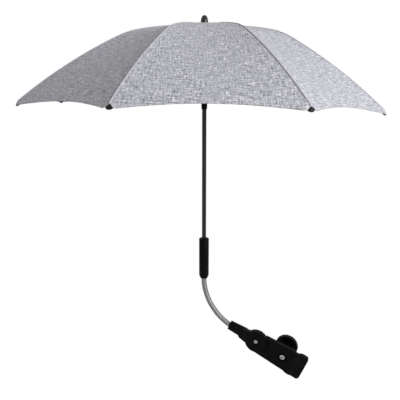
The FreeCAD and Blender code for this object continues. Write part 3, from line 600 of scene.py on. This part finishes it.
def cloth_shell(name, points, uv, thickness, side, finish):
    """A closed thin shell round a middle surface: its faces lie half the thickness off along the
    normals, above and below, and a rim joins their edges."""
    rows, columns = points.shape[:2]
    normal = grid_normals(points)
    normal *= np.sign(normal[..., 2].mean())
    upper = points + normal * thickness[..., None] / 2
    lower = points - normal * thickness[..., None] / 2
    top = quad_grid(rows, columns)
    if side > 0:
        top = top[:, ::-1]
    bottom = top[:, ::-1] + rows * columns
    numbers = np.arange(rows * columns).reshape(rows, columns)
    edge = np.concatenate([numbers[0], numbers[1:, -1], numbers[-1, -2::-1], numbers[-2:0:-1, 0]])
    onward = np.roll(edge, -1)
    rim = np.stack([edge, onward, onward + rows * columns, edge + rows * columns], axis=-1)
    if side < 0:
        rim = rim[:, ::-1]
    faces = np.vstack([top, bottom, rim])
    shell = new_piece(name, np.stack([upper, lower]), faces, finish, uv=np.stack([uv, uv]))
    shell.data.set_sharp_from_angle(angle=HEM_ANGLE)
    return shell


CLOTH_GREY = (0.39, 0.39, 0.43)
CLOTH_DARK = (0.15, 0.15, 0.18)
CLOTH_PALE = (0.72, 0.72, 0.76)
THREADS_PER_METRE = 1700
SLUB_LENGTH = 0.018
SLUB_WIDTH = 0.0021
FLECKS_PER_METRE = 270.0
WEFT_WEIGHT = 2.2
WARP_WEIGHT = 1.8
FLECK_WEIGHT = 2.7
TONE_RANGE = 0.75
WEAVE_DEPTH = 0.00012

melange_cloth, shade, shader = new_finish("melange_cloth")
lie = shade.node("UVMap", {"uv_map": "weave"})
u = shade.node("SeparateXYZ", (), {0: lie}, output="X")
v = shade.node("SeparateXYZ", (), {0: lie}, output="Y")


def slubs(along, across, seed):
    """Uneven yarns: noise drawn out SLUB_LENGTH along the yarn and SLUB_WIDTH across it."""
    lengths = {0: along * (1 / SLUB_LENGTH), 1: across * (1 / SLUB_WIDTH), 2: seed}
    return shade.noise(shade.node("CombineXYZ", (), lengths), 1.0, detail=2.0, roughness=0.6)


weft = slubs(u, v, seed=3.0)
warp = slubs(v, u, seed=11.0)
flecks = shade.noise(lie, FLECKS_PER_METRE, detail=3.0, roughness=0.7)
tone = (weft - 0.5) * WEFT_WEIGHT + (warp - 0.5) * WARP_WEIGHT + (flecks - 0.5) * FLECK_WEIGHT
dark = (0.0 - tone).step(0.0, TONE_RANGE)
pale = tone.step(0.0, TONE_RANGE)
thread_phase = THREADS_PER_METRE * math.pi
weave = shade.math("SINE", u * thread_phase) * shade.math("SINE", v * thread_phase)
paint(shader,
      Base_Color=pale.mix(dark.mix(CLOTH_GREY, CLOTH_DARK), CLOTH_PALE),
      Roughness=tone * 0.1 + 0.86,
      Normal=shade.bump(weave + tone * 1.5, strength=0.35, depth=WEAVE_DEPTH),
      Sheen_Weight=0.12,
      Sheen_Roughness=0.5,
      Specular_IOR_Level=0.15)

RIB_HINGE = np.array([0.008, 0.144])
FOLD_TURN = {"inner": math.radians(8.8), "outer": math.radians(20.0)}
RESTING = {"inner": "rib", "outer": "rib_end"}
spans = {"inner": (0.0, JOINT_REACH, INNER_ROWS), "outer": (JOINT_REACH, SEAM_LENGTH, OUTER_ROWS)}


def fold_line(number, side, part):
    """Axis and anchor for folding half a panel against its rib, in the rib's frame; no fold is applied
    here. The axis runs across the cloth, turned down by FOLD_TURN, and the anchor lies on the rib's
    chord, lifted by half its bow and CLOTH_LIFT."""
    start, stop, bow = (RIB_HINGE, RIB_JOINT, RIB_BOW)
    if part == "outer":
        start, stop, bow = (RIB_JOINT, rib_tips[number], RIB_END_BOW)
    turned = FOLD_TURN[part]
    slope = math.atan2(*(stop - start)[::-1])
    axis = np.array([math.sin(turned) * math.sin(slope), side * math.cos(turned),
                     -math.sin(turned) * math.cos(slope)])
    rise = np.array([-math.sin(slope), math.cos(slope)]) * (bow / 2 + CLOTH_LIFT)
    return axis, np.array([start[0] + rise[0], 0, start[1] + rise[1]])


for number in range(1, RIBS + 1):
    for side, word in ((1, "left"), (-1, "right")):
        for part in ("inner", "outer"):
            points, uv, to_hem = half_panel(number, side, *spans[part])
            folded = 0 * to_hem
            if part == "outer":
                folded = 1 / (1 + np.exp((to_hem - HEM_WIDTH) / HEM_FADE))
            thickness = CLOTH_THICKNESS + (HEM_THICKNESS - CLOTH_THICKNESS) * folded
            panel = cloth_shell(f"panel_{number}_{word}_{part}", about_pole(points, number), uv,
                                thickness, side, melange_cloth)
            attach(panel, f"{RESTING[part]}_{number}")
            axis, anchor = fold_line(number, side, part)
            about_pole(axis, number) - POLE_FOOT
            about_pole(anchor, number)
            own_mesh(panel)
            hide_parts("canopy")
            widths = np.linalg.norm(np.diff(points, axis=1), axis=-1).sum(axis=1)
            flat = (float(widths.max()), float(spans[part][1] - spans[part][0]))

# Seam welts: along each rib the edges of two panels are turned in and sewn together with a pale
# thread. The seam stands up as a narrow ridge from the crown washer to the rib's tip. Its colour
# is darkened with painted shade in the dips between stitches, and with dark flecks of the yarn.
WELT_HALF = 0.0012
WELT_HEIGHT = 0.0012
WELT_START = 0.0080
WELT_SIDES = 12
WELT_ROWS = {"inner": 90, "outer": 150}
WELT_PALE = (0.50, 0.50, 0.54)
# Dark colour of the welt: dark yarn flecks, and painted shade in the dips between stitches.
WELT_FLECK_AND_DIP_SHADE = (0.20, 0.20, 0.23)
WELT_UNDER = 0.0002
WELT_SWELL = 0.08
WELT_SEAT = CLOTH_THICKNESS / 2 * 0.6
WELT_FLECKS_PER_METRE = 600.0
STITCH_PITCH = 0.0032
STITCH_DEPTH = 0.0002

welt_cloth, shade, shader = new_finish("welt_cloth")
lie = shade.node("UVMap", {"uv_map": "weave"})
v = shade.node("SeparateXYZ", (), {0: lie}, output="Y")
place = shade.node("TexCoord", output="Object")
flecks = shade.noise(place, WELT_FLECKS_PER_METRE, detail=3.0)
stitch = shade.math("SINE", v * (2 * math.pi / STITCH_PITCH))
# Where the stitch dips, the colour is darkened: painted shade, not a colour of the thread.
stitch_dip_shade = (0.0 - stitch).step(0.55, 0.9)
paint(shader,
      Base_Color=(stitch_dip_shade * 0.6 + flecks.step(0.55, 0.75) * 0.5).mix(WELT_PALE, WELT_FLECK_AND_DIP_SHADE),
      Roughness=flecks * 0.1 + 0.8,
      Normal=shade.bump(stitch + flecks, strength=0.4, depth=STITCH_DEPTH),
      Specular_IOR_Level=0.2)


def seam_welt(name, number, first, last, rows):
    """A ridge carried along the seam: WELT_HALF cos t sideways and WELT_HEIGHT sin t up, WELT_UNDER
    sin t in the lower half, swelling a little between stitches; both ends close to a point."""
    distance = np.linspace(first, last, rows)[:, None]
    turn = np.linspace(0, 2 * np.pi, WELT_SIDES, endpoint=False)[None, :]
    radius, height = line_at(number, distance)
    slope = np.arctan(np.gradient(height, axis=0) / np.gradient(radius, axis=0))
    swell = 1 + WELT_SWELL * np.cos(2 * np.pi * distance / STITCH_PITCH)
    swell[[0, -1]] = 0
    depth = np.where(np.sin(turn) > 0, WELT_HEIGHT, WELT_UNDER)
    lift = depth * np.sin(turn) * swell + WELT_SEAT
    points = np.stack([radius - np.sin(slope) * lift, WELT_HALF * np.cos(turn) * swell,
                       height + np.cos(slope) * lift], axis=-1)
    uv = np.stack(np.broadcast_arrays(turn / (2 * np.pi), distance), axis=-1)
    faces = quad_grid(rows, WELT_SIDES, around=True)
    return new_piece(name, about_pole(points, number), faces, welt_cloth, uv=uv, mend=True)


welt_spans = {"inner": (WELT_START, JOINT_REACH), "outer": (JOINT_REACH, SEAM_LENGTH - TIP_NOTCH)}
for number in range(1, RIBS + 1):
    for part, (first, last) in welt_spans.items():
        welt = seam_welt(f"seam_{number}_{part}", number, first, last, WELT_ROWS[part])
        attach(welt, f"{RESTING[part]}_{number}")

# Crown washer and finial: the washer presses the cloth on the notch, and the bullet-shaped finial
# of glossier plastic is pushed over the end of the pole.
FINIAL_COLOUR = (0.006, 0.006, 0.0065)

finial_plastic = moulded_plastic("finial_plastic", FINIAL_COLOUR, RUBBED_PLASTIC,
                                 grain=0.0004, roughness=0.25, gloss=0.35)
dress("crown_washer", jaw_plastic)
dress("finial", finial_plastic)

# Studio: a pale floor well below the parasol, which is held up by its clamp, one large soft lamp
# on the right and a white surround.
FLOOR_DROP = 0.60
FLOOR_SIZE = 14.0
FLOOR_COLOUR = (0.80, 0.80, 0.80)
FLOOR_MOTTLE = (0.82, 0.82, 0.82)
MOTTLE_PER_METRE = 3.0
FLOOR_GLOW = 1.03
GLOW_SHARE = 0.94
SURROUND = 0.50
WHITE = (1, 1, 1, 1)
LAMP_PLACE = np.array([1.55, -0.55, 0.55])
LAMP_TARGET = np.array([0.0, 0.0, 0.05])
LAMP_SIZE = 0.8
LAMP_POWER = 26.0


def seen_directly(shade):
    """1 for what the camera sees, also in a reflection, and 0 for light that falls on the object."""
    in_view = shade.node("LightPath", output="Is Camera Ray")
    return shade.math("MAXIMUM", in_view, shade.node("LightPath", output="Is Glossy Ray"))


floor_paint, shade, shader = new_finish("floor_paint")
place = shade.node("TexCoord", output="Object")
mottle = shade.noise(place, MOTTLE_PER_METRE, detail=2.0)
paint(shader, Base_Color=mottle.mix(FLOOR_COLOUR, FLOOR_MOTTLE), Roughness=0.9)
glow = shade.node("Emission", (), {"Color": WHITE, "Strength": FLOOR_GLOW})
painted = Shade(shade.tree, shader.outputs[0])
mixed = shade.node("MixShader", (), {0: seen_directly(shade) * GLOW_SHARE, 1: painted, 2: glow})
shade.tree.links.new(mixed.socket, shade.tree.nodes["Material Output"].inputs["Surface"])
corner = FLOOR_SIZE / 2
floor_z = cad_box[0][2] - FLOOR_DROP
corners = np.array([[-corner, -corner, floor_z], [corner, -corner, floor_z], [corner, corner, floor_z],
                    [-corner, corner, floor_z]])
floor = new_piece("floor", corners, [[0, 1, 2, 3]], floor_paint)

scene = bpy.context.scene
scene.world = bpy.data.worlds.new("surround")
scene.world.use_nodes = True
shade = Shade(scene.world.node_tree)
strength = seen_directly(shade) * (1 - SURROUND) + SURROUND
paint(shade.tree.nodes["Background"], Color=WHITE, Strength=strength)

lamp = bpy.data.lights.new("key_lamp", "AREA")
lamp.shape = "DISK"
lamp.size = LAMP_SIZE
lamp.energy = LAMP_POWER
key_lamp = bpy.data.objects.new("key_lamp", lamp)
key_lamp.location = POLE_FOOT + LAMP_PLACE
aim = LAMP_TARGET - LAMP_PLACE
lean = math.acos(-aim[2] / np.linalg.norm(aim))
key_lamp.rotation_euler = (lean, 0, math.atan2(aim[1], aim[0]) - math.pi / 2)
scene.collection.objects.link(key_lamp)

# Camera: just above the hem, a little under a metre from the pole, looking slightly down. Its
# place, turn and lens follow from the crown, the rib tips, the pole and the clamp.
CAMERA_DISTANCE = 0.935
CAMERA_HEIGHT = 0.020
CAMERA_TURN = math.radians(20.9)
CAMERA_YAW = math.radians(0.53)
CAMERA_PITCH = math.radians(13.2)
FOCAL_LENGTH = 40.78
SENSOR_WIDTH = 36.0

lens = bpy.data.cameras.new("camera")
lens.lens = FOCAL_LENGTH
lens.sensor_width = SENSOR_WIDTH
camera = bpy.data.objects.new("camera", lens)
offset = np.array([math.sin(CAMERA_TURN), -math.cos(CAMERA_TURN), 0.0])
camera.location = POLE_FOOT + CAMERA_DISTANCE * offset + np.array([0.0, 0.0, CAMERA_HEIGHT])
camera.rotation_euler = (math.pi / 2 - CAMERA_PITCH, 0, CAMERA_TURN + CAMERA_YAW)
scene.collection.objects.link(camera)
scene.camera = camera
scene.view_settings.view_transform = "Standard"
